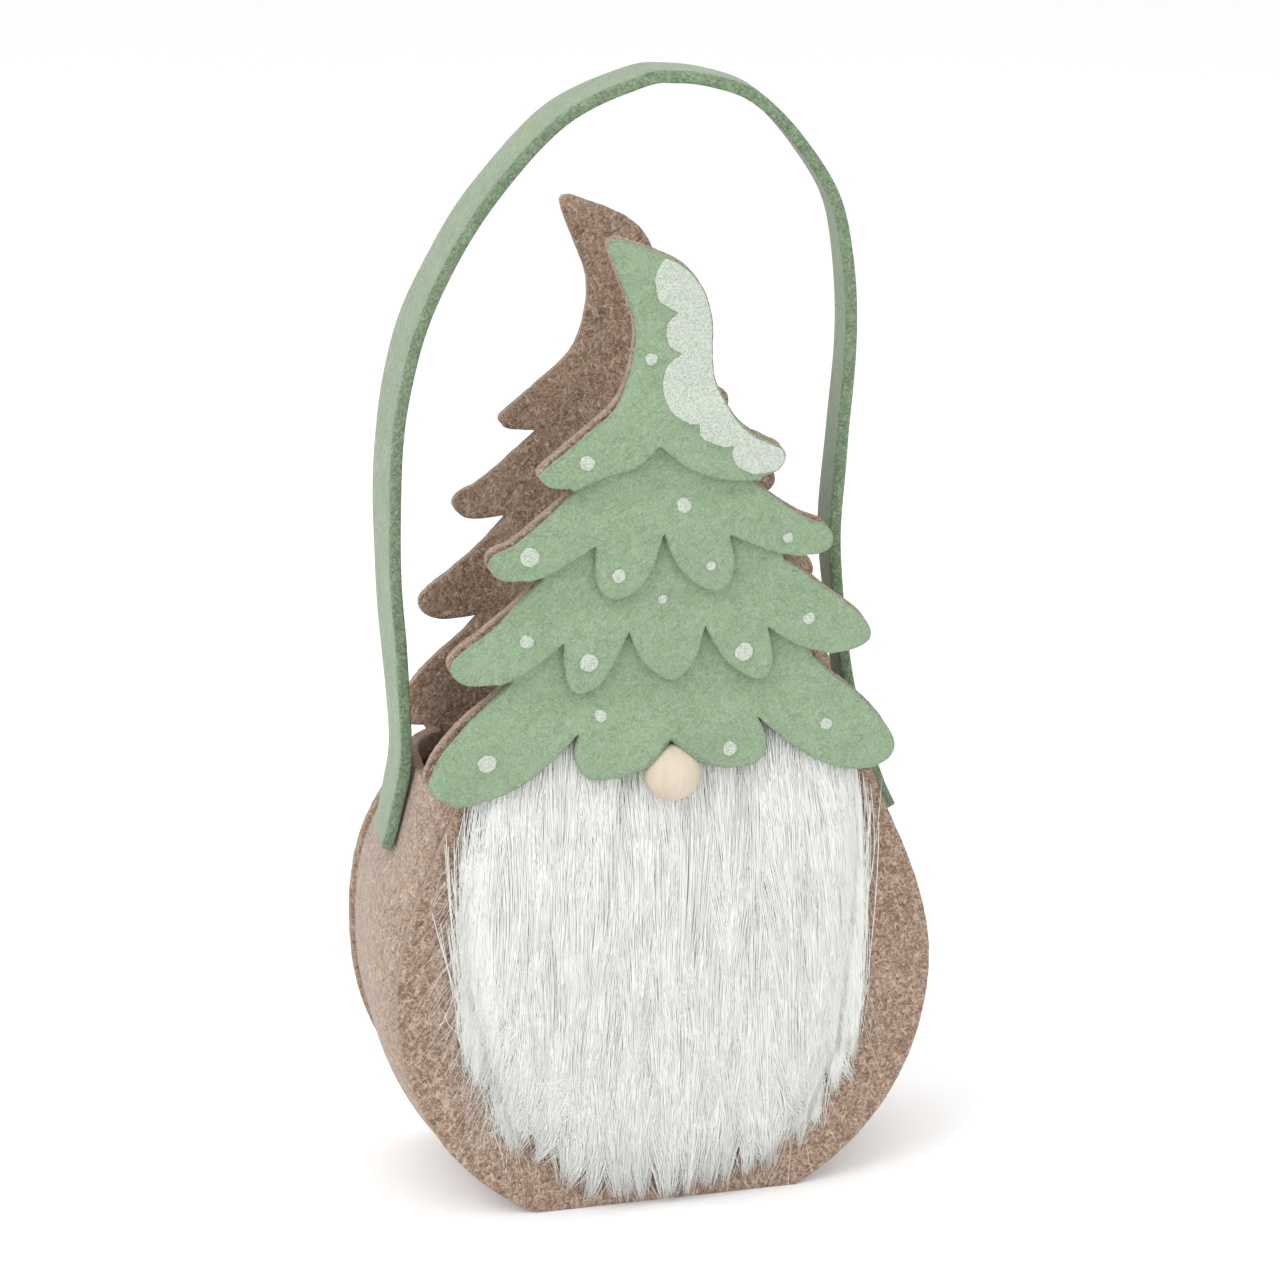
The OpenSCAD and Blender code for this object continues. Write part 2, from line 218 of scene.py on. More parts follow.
def area_of(ring):
    return abs(np.sum(ring[:, 0] * np.roll(ring[:, 1], -1) - np.roll(ring[:, 0], -1) * ring[:, 1])) / 2


def strip_ring(length, half):
    """Outline of a straight strip: its length along u, and half its width either side of v = 0."""
    return [np.array(p) for p in ((0, -half), (length, -half), (length, half), (0, half))]


def triangulate(ring, step):
    """Points and triangles over a ring's inside; the ring's own points come first."""
    lo, hi = ring.min(axis=0), ring.max(axis=0)
    rows = np.arange(lo[1], hi[1], step * 0.87)
    grid = np.array([(x + (step / 2 if k % 2 else 0), z)
                     for k, z in enumerate(rows) for x in np.arange(lo[0], hi[0], step)])
    grid = grid[inside(ring, grid)]
    grid = grid[clear_of(ring, grid, step * 0.55)]
    pts = [Vector(p) for p in ring] + [Vector(p) for p in grid]
    loop = list(range(len(ring)))
    out, _, tris, source, _, _ = delaunay_2d_cdt(pts, [], [loop], 1, 1e-5)
    place = {}
    for k, from_ in enumerate(source):
        for i in from_:
            place[i] = k
    return np.array([tuple(v) for v in out]), [list(t) for t in tris], [place[i] for i in loop]


# ---------------------------------------------------------------- meshes
def new_object(name, verts_mm, faces, materials, face_material=None):
    mesh = bpy.data.meshes.new(name)
    mesh.from_pydata([tuple(v) for v in np.asarray(verts_mm) * MM], [], faces)
    for m in materials:
        mesh.materials.append(m)
    if face_material is not None:
        mesh.polygons.foreach_set("material_index", np.asarray(face_material, np.int32))
    mesh.polygons.foreach_set("use_smooth", np.ones(len(mesh.polygons), bool))
    mesh.update()
    obj = bpy.data.objects.new(name, mesh)
    bpy.context.collection.objects.link(obj)
    return obj


# Cut edge of a sheet, from its front face to its back: (inset in mm, share of the thickness)
RIM = [(0.5, 0.5), (0.14, 0.43), (0.0, 0.24), (0.0, 0.0), (0.0, -0.24), (0.14, -0.43), (0.5, -0.5)]


def sheet_object(name, outline, surface, thick, materials, step=2.6, rough=0.16, sign=1, seed=0):
    """A sheet of felt: outline is its flat cut, surface(u, v) its middle in space.
    materials are for the faces and for the cut edge."""
    ring = resample(outline, step * 0.45)
    norm = inward(ring)
    cdt, tris, loop = triangulate(ring + norm * RIM[0][0], step)

    def lift(u, v, w):
        e = 0.4
        p = np.array(surface(u, v))
        du = np.array(surface(u + e, v)) - np.array(surface(u - e, v))
        dv = np.array(surface(u, v + e)) - np.array(surface(u, v - e))
        n = np.cross(du, dv)
        return p + n * (sign * w / max(np.linalg.norm(n), 1e-9))

    verts = [lift(u, v, thick * RIM[0][1]) for u, v in cdt]
    back_from = len(verts)
    verts += [lift(u, v, thick * RIM[-1][1]) for u, v in cdt]
    front_first = sign > 0
    faces = [t if front_first else t[::-1] for t in tris]
    faces += [[back_from + i for i in (t[::-1] if front_first else t)] for t in tris]
    kinds = [0] * len(faces)
    rows = [loop]
    for inset, share in RIM[1:-1]:
        rows.append(list(range(len(verts), len(verts) + len(ring))))
        for (u, v), (nu, nv) in zip(ring, norm):
            wob = rough * noise.noise(Vector((u / 1.3, v / 1.3, seed + share * thick)))
            wob += rough * noise.noise(Vector((u / 4.5, v / 4.5, seed + 9.0)))
            verts.append(lift(u + nu * (inset + wob), v + nv * (inset + wob), thick * share))
    rows.append([back_from + i for i in loop])
    n = len(ring)
    for upper, lower in zip(rows, rows[1:]):
        for i in range(n):
            j = (i + 1) % n
            quad = [upper[i], lower[i], lower[j], upper[j]]
            faces.append(quad if front_first else quad[::-1])
            kinds.append(1)
    return new_object(name, verts, faces, materials, kinds), area_of(ring)


def strands(name, paths, radius, material, tip=0.25, root=0.7, flat=0.3):
    """Thin closed three-sided strands, flattened so that their broad side faces out. paths is
    an array [strand, point, xyz] in mm and radius one number for each strand."""
    paths = np.asarray(paths, float)
    m, k, _ = paths.shape
    share = np.linspace(0, 1, k)
    taper = np.minimum(1, root + (1 - root) * share / 0.15) * (1 - (1 - tip) * share ** 3)
    r = np.asarray(radius)[:, None] * taper[None, :]
    run = np.gradient(paths, axis=1)
    run /= np.maximum(np.linalg.norm(run, axis=2), 1e-9)[:, :, None]
    side = np.cross(run, np.array((0.0, 1.0, 0.0)))
    side /= np.maximum(np.linalg.norm(side, axis=2), 1e-9)[:, :, None]
    front = np.cross(run, side)
    verts = np.empty((m, k, 3, 3))
    for j in range(3):
        a = 2 * math.pi * j / 3 + math.pi / 2
        verts[:, :, j] = paths + r[:, :, None] * (side * math.cos(a) + front * math.sin(a) * flat)
    base = (np.arange(m) * k * 3)[:, None, None]
    row = (np.arange(k - 1) * 3)[None, :, None]
    j = np.arange(3)[None, None, :]
    a = base + row + j
    b = base + row + (j + 1) % 3
    quads = np.stack([a, b, b + 3, a + 3], axis=-1).reshape(-1, 4)
    first = base[:, 0, 0]
    caps = np.concatenate([np.stack([first + 2, first + 1, first], axis=-1),
                           np.stack([first + 3 * k - 3, first + 3 * k - 2, first + 3 * k - 1], axis=-1)])
    verts = verts.reshape(-1, 3) * MM
    mesh = bpy.data.meshes.new(name)
    mesh.vertices.add(len(verts))
    mesh.vertices.foreach_set("co", verts.ravel())
    loops = np.concatenate([quads.ravel(), caps.ravel()])
    starts = np.concatenate([np.arange(len(quads)) * 4, len(quads) * 4 + np.arange(len(caps)) * 3])
    mesh.loops.add(len(loops))
    mesh.loops.foreach_set("vertex_index", loops.astype(np.int32))
    mesh.polygons.add(len(starts))
    mesh.polygons.foreach_set("loop_start", starts.astype(np.int32))
    mesh.materials.append(material)
    mesh.update(calc_edges=True)
    mesh.polygons.foreach_set("use_smooth", np.ones(len(mesh.polygons), bool))
    obj = bpy.data.objects.new(name, mesh)
    bpy.context.collection.objects.link(obj)
    return obj


# ---------------------------------------------------------------- materials
def srgb(r, g, b, share=0.78):
    """A colour as the surface should look in this scene. White light from all round makes it
    look brighter than it is, so it is multiplied by share."""
    return tuple(share * ((v / 255 + 0.055) / 1.055) ** 2.4 for v in (r, g, b)) + (1,)


class Nodes:
    """Short ways to add and join shader nodes."""

    def __init__(self, name):
        self.material = bpy.data.materials.new(name)
        self.material.use_nodes = True
        self.tree = self.material.node_tree
        self.shader = self.tree.nodes["Principled BSDF"]
        self.place = self.add("ShaderNodeTexCoord").outputs["Object"]

    def add(self, kind, **settings):
        node = self.tree.nodes.new(kind)
        for key, value in settings.items():
            setattr(node, key, value)
        return node

    def put(self, socket, value):
        if hasattr(value, "links"):
            self.tree.links.new(value, socket)
        else:
            socket.default_value = value

    def warp(self, turn=(0, 0, 0), scale=(1, 1, 1), shift=(0, 0, 0), kind="POINT"):
        """POINT scales and then turns; TEXTURE turns and then divides by the scale."""
        node = self.add("ShaderNodeMapping", vector_type=kind)
        self.put(node.inputs["Vector"], self.place)
        node.inputs["Rotation"].default_value = turn
        node.inputs["Scale"].default_value = scale
        node.inputs["Location"].default_value = shift
        return node.outputs[0]

    def noise(self, scale, detail=2.0, rough=0.5, vector=None, distort=0.0):
        node = self.add("ShaderNodeTexNoise")
        self.put(node.inputs["Vector"], vector if vector is not None else self.place)
        node.inputs["Scale"].default_value = scale
        node.inputs["Detail"].default_value = detail
        node.inputs["Roughness"].default_value = rough
        node.inputs["Distortion"].default_value = distort
        return node.outputs["Fac"]

    def math(self, op, a, b=0.0, clamp=False):
        node = self.add("ShaderNodeMath", operation=op, use_clamp=clamp)
        self.put(node.inputs[0], a)
        self.put(node.inputs[1], b)
        return node.outputs[0]

    def span(self, value, lo, hi, out_lo=0.0, out_hi=1.0):
        """Maps lo..hi to out_lo..out_hi, held at both ends."""
        node = self.add("ShaderNodeMapRange", clamp=True)
        for key, number in (("From Min", lo), ("From Max", hi), ("To Min", out_lo), ("To Max", out_hi)):
            node.inputs[key].default_value = number
        self.put(node.inputs["Value"], value)
        return node.outputs["Result"]

    def mix(self, fac, a, b, blend="MIX"):
        node = self.add("ShaderNodeMix", data_type="RGBA", blend_type=blend)
        self.put(node.inputs["Factor"], fac)
        self.put(node.inputs["A"], a)
        self.put(node.inputs["B"], b)
        return node.outputs["Result"]

    def fibre(self, turn, scale, stretch, width, detail=1.0, shift=(0, 0, 0)):
        """Thin curved hairs: the lines where a stretched noise passes its middle value."""
        vector = self.warp(turn, (1 / scale, 1 / scale, 1 / (scale * stretch)), shift, "TEXTURE")
        away = self.math("ABSOLUTE", self.math("SUBTRACT", self.noise(1.0, detail, 0.5, vector), 0.5))
        return self.span(away, 0.0, width, 1.0, 0.0)

    def bump(self, height, distance, strength=1.0):
        node = self.add("ShaderNodeBump")
        node.inputs["Distance"].default_value = distance
        node.inputs["Strength"].default_value = strength
        self.put(node.inputs["Height"], height)
        self.put(self.shader.inputs["Normal"], node.outputs[0])


FIBRE_TURNS = [(0.2, 0.2, 0.1), (0.3, 0.9, 0.4), (-0.2, 1.5, 0.2), (0.3, 2.1, -0.3), (0.1, 2.7, 0.3)]


def felt_material(name, base, light, dark, hairs=0.55, mottle=0.5, grain=0.5, bump=0.00035,
                  fine=1.0, sheen=0.25):
    """Pressed needle felt: soft patches, fine grain, and light and dark hairs in every direction."""
    n = Nodes(name)
    patches = n.span(n.noise(85, 3.0, 0.6), 0.32, 0.68)
    speck = n.noise(1150 * fine, 3.0, 0.7)
    colour = n.mix(n.math("MULTIPLY", patches, mottle), base, dark)
    colour = n.mix(n.math("MULTIPLY", n.span(speck, 0.5, 0.72), grain), colour, light)
    colour = n.mix(n.math("MULTIPLY", n.span(speck, 0.5, 0.3), grain), colour, dark)
    height = n.math("MULTIPLY", speck, 0.6)
    for k, turn in enumerate(FIBRE_TURNS):
        hair = n.fibre(turn, (430 + 70 * k) * fine, 0.16, 0.035, 1.5, (k * 3.1, k * 1.7, 0))
        broken = n.span(n.noise(260 + 40 * k, 1.0), 0.42, 0.6)
        hair = n.math("MULTIPLY", hair, broken)
        tone = dark if k in (1, 3) else light
        colour = n.mix(n.math("MULTIPLY", hair, hairs), colour, tone)
        height = n.math("ADD", height, n.math("MULTIPLY", hair, 0.35))
    n.put(n.shader.inputs["Base Color"], colour)
    n.shader.inputs["Roughness"].default_value = 0.95
    n.shader.inputs["Specular IOR Level"].default_value = 0.12
    n.shader.inputs["Sheen Weight"].default_value = sheen
    n.shader.inputs["Sheen Roughness"].default_value = 0.6
    n.bump(height, bump)
    return n.material


BROWN = felt_material("brown_felt", srgb(168, 138, 116), srgb(224, 204, 184), srgb(104, 74, 54),
                      0.8, 0.38, 0.75)
# Painted light: the back panel's felt is the front's brown felt made lighter, standing in for more light
# on it than this scene gives
BROWN_BACK_LIT = felt_material("back_felt_painted_light", srgb(182, 151, 128), srgb(230, 208, 188), srgb(108, 78, 58),
                           0.8, 0.45, 0.75)
BROWN_EDGE = felt_material("brown_felt_cut", srgb(176, 148, 126), srgb(222, 204, 184), srgb(128, 98, 78),
                           0.6, 0.3, 0.7, 0.0006)
GUSSET = felt_material("gusset_felt", srgb(178, 152, 132), srgb(228, 212, 196), srgb(116, 88, 70),
                       0.7, 0.3, 0.65)
GREEN = felt_material("green_felt", srgb(156, 180, 147), srgb(182, 202, 174), srgb(122, 150, 112),
                      0.5, 0.35, 0.6, 0.0003, 1.3)
GREEN_EDGE = felt_material("green_felt_cut", srgb(150, 174, 141), srgb(180, 200, 172),
                           srgb(112, 140, 104), 0.5, 0.3, 0.6, 0.0005, 1.2)
STRAP = felt_material("strap_felt", srgb(145, 163, 134), srgb(182, 197, 174), srgb(112, 134, 102),
                      0.4, 0.35, 0.4, 0.00025)
STRAP_EDGE = felt_material("strap_felt_cut", srgb(132, 156, 122), srgb(170, 190, 162), srgb(92, 118, 84),
                           0.6, 0.3, 0.8, 0.0006, 1.1)


def fur_material(name, base, shade):
    """White pile: streaks along the hair and a soft gloss."""
    n = Nodes(name)
    streak = n.noise(1.0, 2.0, 0.5, n.warp((0, 0, 0), (900, 900, 40)))
    clump = n.noise(1.0, 2.0, 0.5, n.warp((0, 0, 0), (160, 160, 30)))
    colour = n.mix(n.span(streak, 0.35, 0.65, 0.0, 0.6), base, shade)
    colour = n.mix(n.span(clump, 0.4, 0.7, 0.0, 0.35), colour, shade)
    n.put(n.shader.inputs["Base Color"], colour)
    n.shader.inputs["Roughness"].default_value = 0.55
    n.shader.inputs["Specular IOR Level"].default_value = 0.35
    n.shader.inputs["Sheen Weight"].default_value = 0.15
    return n.material


# Painted light: the strands' white is kept brighter than the other colours (share 0.88), standing in for
# light that passes through and between real hairs
FUR = fur_material("white_fur", srgb(252, 253, 249, 0.88), srgb(244, 246, 241, 0.88))
# Painted shade: the backing is the same white fur made darker (share 0.8), for the shade deep in the
# pile between the strands
FUR_BACK_SHADED = fur_material("fur_backing_painted_shade", srgb(246, 248, 243, 0.8), srgb(238, 240, 235, 0.8))


def bead_material():
    """Pale sanded wood with a soft end grain."""
    n = Nodes("wood_bead")
    rings = n.noise(1.0, 3.0, 0.55, n.warp((0.3, 0.2, 0.1), (260, 90, 40)), 0.6)
    pores = n.fibre((0.2, 0.1, 0.0), 700, 0.1, 0.03)
    colour = n.mix(n.span(rings, 0.35, 0.65), srgb(228, 215, 195), srgb(219, 202, 178))
    colour = n.mix(n.math("MULTIPLY", pores, 0.25), colour, srgb(196, 166, 132))
    n.put(n.shader.inputs["Base Color"], colour)
    n.shader.inputs["Roughness"].default_value = 0.55
    n.shader.inputs["Specular IOR Level"].default_value = 0.4
    n.bump(n.math("MULTIPLY", rings, 0.5), 0.0001)
    return n.material


BEAD = bead_material()


def print_material():
    """Grainy white glitter paint, with the green felt showing between the grains."""
    n = Nodes("white_print")
    grains = n.add("ShaderNodeTexVoronoi", feature="F1")
    n.put(grains.inputs["Vector"], n.place)
    grains.inputs["Scale"].default_value = 1900
    fine = n.noise(1300, 3.0, 0.7)
    colour = n.mix(n.span(fine, 0.42, 0.62), srgb(232, 240, 228, 0.76), srgb(206, 218, 200, 0.76))
    gaps = n.span(grains.outputs["Distance"], 0.5, 0.85, 0.0, 0.4)
    colour = n.mix(gaps, colour, srgb(168, 190, 160, 0.7))
    n.put(n.shader.inputs["Base Color"], colour)
    n.put(n.shader.inputs["Roughness"], n.span(fine, 0.3, 0.7, 0.3, 0.7))
    n.bump(n.math("ADD", grains.outputs["Distance"], fine), 0.0004)
    return n.material


PRINT = print_material()


# ---------------------------------------------------------------- surfaces
def lean(z):
    """How far the panels lean outwards at height z."""
    return max(z - BEND_Z, 0) * SPLAY


def ease(a, b, x):
    """0 at a and 1 at b, with a soft start and end; a may be the higher one."""
    t = min(max((x - a) / (b - a), 0), 1)
    return t * t * (3 - 2 * t)


def wave(x, z, seed, reach=46.0):
    """Slow unevenness, about reach mm from one swell to the next."""
    return noise.noise(Vector((x / reach, z / reach, seed)))


def panel_surface(side):
    """Middle of the front (side -1) or back (side 1) panel."""
    def at(x, z):
        soft = 0.5 * wave(x, z, 3.0 + side) * ease(150, 220, z)
        return x, side * (INNER_Y + FELT / 2 + lean(z) + soft), z
    return at


FRONT_RING = panel_outline(HALF_W, HALF_W, 0)
BACK_RING = panel_outline(HALF_W + FLARE_LEFT, HALF_W + FLARE_RIGHT, 1)


def keep(obj, body, nodes=()):
    """Rides a piece on its body, and hides the CAD nodes it stands for."""
    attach(obj, body)
    if nodes:
        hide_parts(*nodes)
    return obj


def make_panel(name, ring, side, face):
    obj, area = sheet_object(name, ring, panel_surface(side), FELT, (face, BROWN_EDGE),
                             seed=side * 5)
    keep(obj, "bag", (name.replace("felt_", ""),))


make_panel("felt_front_panel", FRONT_RING, -1, BROWN)
make_panel("felt_back_panel", BACK_RING, 1, BROWN_BACK_LIT)


# ---------------------------------------------------------------- gusset strip
def flare_share(y):
    """How much of the back's fuller shape the strip has at depth y: 0 in front, 1 at the back."""
    return 1 - ((INNER_Y - y) / (2 * INNER_Y)) ** 6


def gusset_x(z, y, side):
    """Outer face of the strip's left (side -1) or right (side 1) half. Above PULL_Z the strap
    draws the middle of each side out to a straight line up to the rim."""
    flare, full, rim_x = (FLARE_LEFT, 1, RIM_LEFT) if side < 0 else (FLARE_RIGHT, 0, RIM_RIGHT)
    share = flare_share(y)

    def loose(height):
        x = belly_x(height, HALF_W, 0) * (1 - share) + belly_x(height, HALF_W + flare, full) * share
        return x - FLANGE * min(height / 15, 1)
    if z < PULL_Z:
        return side * loose(z)
    taut = loose(PULL_Z) + (rim_x - loose(PULL_Z)) * (z - PULL_Z) / (RIM_H - PULL_Z)
    drawn = 1 - min(abs(y) / INNER_Y, 1) ** 4
    return side * (loose(z) * (1 - drawn) + taut * drawn)


GUSSET_Z = [z for z in LEVELS if z < NECK_Z - 1] + [RIM_H]
GUSSET_FLOOR = 9                  # steps across the flat floor


def gusset_line(y):
    """The strip's outer face at depth y, from its left rim round the floor to its right one."""
    left = [(gusset_x(z, y, -1), z) for z in GUSSET_Z[::-1]]
    right = [(gusset_x(z, y, 1), z) for z in GUSSET_Z]
    floor = [(left[-1][0] + (right[0][0] - left[-1][0]) * k / GUSSET_FLOOR, 0.0)
             for k in range(1, GUSSET_FLOOR)]
    return np.array(left + floor + right)


GUSSET_RUN = run_along(gusset_line(0.0))
GUSSET_CACHE = {}


def gusset_surface(u, v):
    """u runs along the strip, v across it; the middle of the felt."""
    y = min(max(v, -INNER_Y), INNER_Y)
    key = round(y * 4) / 4
    if key not in GUSSET_CACHE:
        line = gusset_line(key)
        d = np.gradient(line, axis=0)
        d /= np.hypot(d[:, 0], d[:, 1])[:, None]
        GUSSET_CACHE[key] = line + np.column_stack([-d[:, 1], d[:, 0]]) * (FELT / 2)
    line = GUSSET_CACHE[key]
    x = np.interp(u, GUSSET_RUN, line[:, 0])
    z = np.interp(u, GUSSET_RUN, line[:, 1])
    return x, v, z


def make_gusset():
    length = GUSSET_RUN[-1]
    ring = strip_ring(length, INNER_Y)
    obj, area = sheet_object("felt_gusset", ring, gusset_surface, FELT, (GUSSET, BROWN_EDGE),
                             sign=-1, seed=11)
    keep(obj, "bag", ("gusset_strip",))


make_gusset()


# ---------------------------------------------------------------- hat tiers
def tier_ring(edges, tab):
    """Outline of one tier: the panel's own edge between the tier's notches, its scalloped lower
    edge, and a tab that runs up under the tier above."""
    top_z, tab_left, tab_right, notch_z = tab
    ring = resample(FRONT_RING, 1.0)
    ring = ring + inward(ring) * TIER_INSET
    low = [np.array(p) for e in edges for p in smooth(e)]
    (left_x, left_z), (right_x, right_z) = low[0], low[-1]
    whole = top_z > PANEL_H

    def belongs(p, end_x, end_z, side):
        beyond = side * p[0] > side * end_x + 0.8
        return p[1] > end_z + 0.3 and (beyond or p[1] > end_z + 14) and (whole or p[1] < notch_z)
    right = [p for p in ring if p[0] > TREE_X and belongs(p, right_x, right_z, 1)]
    left = [p for p in ring if p[0] <= TREE_X and belongs(p, left_x, left_z, -1)]
    if whole:
        return low + right + left
    tab_side = [(0, 0), (2, 6), (8, top_z - notch_z)]
    up = [np.array((tab_right - dx, notch_z + dz)) for dx, dz in tab_side]
    down = [np.array((tab_left + dx, notch_z + dz)) for dx, dz in tab_side[::-1]]
    return low + right + up + down + left


# Lower edge, tab (top, left, right, notch height), then what tier_surface() takes
TIERS = {
    "hat_tier_top": (EDGE_TOP, (400, -90, 90, 400), 251, 10, 2.6, 0.6),
    "hat_tier_upper": (EDGE_UPPER, (250, -27.3, 22.7, 231.8), 222, 8, 2.6, 0.8),
    "hat_tier_lower": (EDGE_LOWER, (221, -37.6, 33, 206.5), 191, 6, 2.6, 0.9),
    "hat_brim": (EDGE_BRIM, (190, -46.8, 42.5, 176), 159, 12, 4.0, 1.8),
}


NOSE_LIFT = 14.0                  # how far the bead pushes the brim out, and how widely
NOSE_REACH = 9.6
CORNER_LIFT = 2.6                 # how far the brim's left corner stands off


def tier_surface(rise_z, rise_h, lift, curl, seed, brim):
    """Middle of a tier: flat on the panel above, lifted over the next piece below, with its
    lower edge curling forward a little."""
    def at(x, z):
        up = lift * (1 - ease(rise_z - 1, rise_z + rise_h, z))
        edge = ease(rise_z - 3, rise_z - 26, z)
        up += edge * (0.35 * curl + curl * 0.6 * wave(x, z, seed, 17.0))
        if brim:
            away = math.hypot(x - NOSE[0], z - NOSE[2])
            up += NOSE_LIFT * math.exp(-(away / NOSE_REACH) ** 2) * ease(168, 156, z)
            up += CORNER_LIFT * ease(-52, -72, x) * ease(160, 140, z)
        return x, -(BAG_Y + TIER / 2 + lean(z) + up + 0.1), z
    return at


TIER_SURFACES = {}


def make_tier(name):
    edges, tab, rise_z, rise_h, lift, curl = TIERS[name]
    seed = rise_z * 0.37
    surface = tier_surface(rise_z, rise_h, lift, curl, seed, name == "hat_brim")
    TIER_SURFACES[name] = surface
    ring = tier_ring(edges, tab)
    obj, area = sheet_object("felt_" + name, ring, surface, TIER, (GREEN, GREEN_EDGE), step=2.0,
                             rough=0.12, sign=1, seed=seed)
    keep(obj, "bag", (name,))


for tier_name in TIERS:
    make_tier(tier_name)


# ---------------------------------------------------------------- strap
STRAP_ROUTE = [(-81.5, 116.5), (-79.8, 122), (-78.3, 128.5), (-76.9, 134.5), (-75.8, 140), (-75.3, 147),
               (-75.6, 160), (-76.6, 180), (-77.4, 205), (-76.6, 232), (-73, 257), (-65.3, 280),
               (-49, 307), (-27, 330), (-4.4, 340.3), (7, 341.3), (18.5, 339.4), (30, 334.8),
               (42, 323.5), (53.5, 306.5), (58.2, 288.5), (59.6, 263), (57.6, 233), (56, 205),
               (58, 181), (61.2, 158), (65, 142), (68.2, 133), (71.4, 124), (74.8, 116.5)]
STRAP_LINE = np.array(smooth(STRAP_ROUTE, 8))
STRAP_RUN = run_along(STRAP_LINE)


def strap_surface(u, v):
    """Middle of the strap; its width turns on the legs, so that both open towards the back."""
    x = np.interp(u, STRAP_RUN, STRAP_LINE[:, 0])
    z = np.interp(u, STRAP_RUN, STRAP_LINE[:, 1])
    ahead = [np.interp(u + 2, STRAP_RUN, STRAP_LINE[:, k]) for k in (0, 1)]
    behind = [np.interp(u - 2, STRAP_RUN, STRAP_LINE[:, k]) for k in (0, 1)]
    dx, dz = ahead[0] - behind[0], ahead[1] - behind[1]
    out = -dz / math.hypot(dx, dz)
    turn = math.radians(STRAP_TURN) * min(max((z - 120) / 60, 0), 1)
    free = ease(150, 190, z)
    x += out * math.tan(turn) * v + free * 0.35 * wave(u, v, 7.0, 22.0)
    return x, v, z + free * 0.3 * wave(u, v, 13.0, 30.0)


def make_strap():
    length = STRAP_RUN[-1]
    ring = strip_ring(length, STRAP_W / 2)
    obj, area = sheet_object("felt_strap", ring, strap_surface, FELT, (STRAP, STRAP_EDGE), rough=0.22,
                             sign=-1, seed=21)
    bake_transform(obj)
    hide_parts("handle_end_left", "handle_strap", "handle_end_right")


make_strap()


# ---------------------------------------------------------------- nose
def make_nose():
    """A sanded bead, a touch taller than wide and a little uneven."""
    rows, cols = 48, 64
    verts, faces = [(0, 0, NOSE_R)], []
    for i in range(1, rows):
        a = math.pi * i / rows
        for j in range(cols):
            b = 2 * math.pi * j / cols
            verts.append((NOSE_R * math.sin(a) * math.cos(b), NOSE_R * math.sin(a) * math.sin(b),
                          NOSE_R * math.cos(a)))
    verts.append((0, 0, -NOSE_R))
    for j in range(cols):
        k = (j + 1) % cols
        faces.append([0, 1 + j, 1 + k])
        faces.append([len(verts) - 1, 1 + (rows - 2) * cols + k, 1 + (rows - 2) * cols + j])
        for i in range(rows - 2):
            a = 1 + i * cols
            faces.append([a + j, a + cols + j, a + cols + k, a + k])
    shaped = []
    for v in verts:
        d = Vector(v)
        d *= 1 + 0.012 * noise.noise(d / 7)
        shaped.append((NOSE[0] + d.x * 0.985, NOSE[1] + d.y * 0.995, NOSE[2] + d.z * 1.03))
    obj = new_object("bead_nose", shaped, faces, (BEAD,))
    keep(obj, "bag", ("nose_bead",))


make_nose()


# ---------------------------------------------------------------- white paint
# Dots: (x, z, radius), each on the tier that shows there
DOTS = [(-7, 268, 1.8, "top"), (-25.6, 239.6, 2.2, "top"), (2.6, 225.3, 2.1, "upper"),
        (-42, 213, 2.7, "upper"), (-16.4, 205.7, 2, "upper"), (33, 214, 1.5, "upper"),
        (10.4, 207, 1.5, "upper"), (-3, 197, 1.5, "lower"), (-43, 187.7, 2, "lower"),
        (-25, 180, 2.7, "lower"), (20.7, 180, 2.7, "lower"), (40, 189, 1.8, "lower"),
        (-55, 151.7, 2.7, "brim"), (-21.5, 163.3, 1.8, "brim"), (45.7, 156, 1.8, "brim"),
        (16.5, 150.8, 2.1, "brim")]
SNOW_INNER = [
    [(-3.6, 296.4), (-6.2, 291), (-5.4, 285.5), (-3.7, 283.2), (0.5, 280.8)],
    [(0.5, 280.8), (-2.6, 277.5), (-2.2, 272), (1.8, 269)],
    [(1.8, 269), (-2.6, 265.5), (-3.6, 259.5), (-1.5, 253), (3.8, 249.2)],
    [(3.8, 249.2), (6.4, 249)],
    [(6.4, 249), (6.6, 246), (8.2, 244.3), (11.7, 242.7)],
    [(11.7, 242.7), (14, 242), (16.3, 242.4)],
    [(16.3, 242.4), (16, 239.6), (17.5, 236.5), (22.2, 233.6)]]
PAINT = 0.5                       # thickness of the paint


def paint(name, ring, tier, step):
    """A thin grainy coat on a tier's front face."""
    under = TIER_SURFACES[tier]

    def at(x, z):
        p = under(x, z)
        grain = 0.12 * noise.noise(Vector((x / 0.5, z / 0.5, 5.0)))
        return p[0], p[1] - TIER / 2 - 0.12 + grain, p[2]
    obj, area = sheet_object(name, ring, at, PAINT, (PRINT, PRINT), step=step, rough=0.16, sign=1)
    keep(obj, "bag")


def snow_ring():
    """Scalloped inner edge down the hat, then back up along the hat's own right edge."""
    edge = resample(FRONT_RING, 1.0)
    edge = edge + inward(edge) * (TIER_INSET + 0.5)
    right = [p for p in edge if 234 < p[1] < 296.6 and p[0] > -2.5]
    inner = [np.array(p) for part in SNOW_INNER for p in smooth(part)]
    return inner + right


def dot_ring(x, z, radius, k):
    """A circle dabbed on by hand, a little out of round in its own way for each k."""
    ring = []
    for a in np.linspace(0, 2 * math.pi, 48, endpoint=False):
        wide = 1 + 0.05 * math.sin(3 * a + k) + 0.03 * math.sin(7 * a)
        high = 1 + 0.05 * math.cos(2 * a + k)
        ring.append(np.array((x + radius * math.cos(a) * wide, z + radius * math.sin(a) * high)))
    return ring


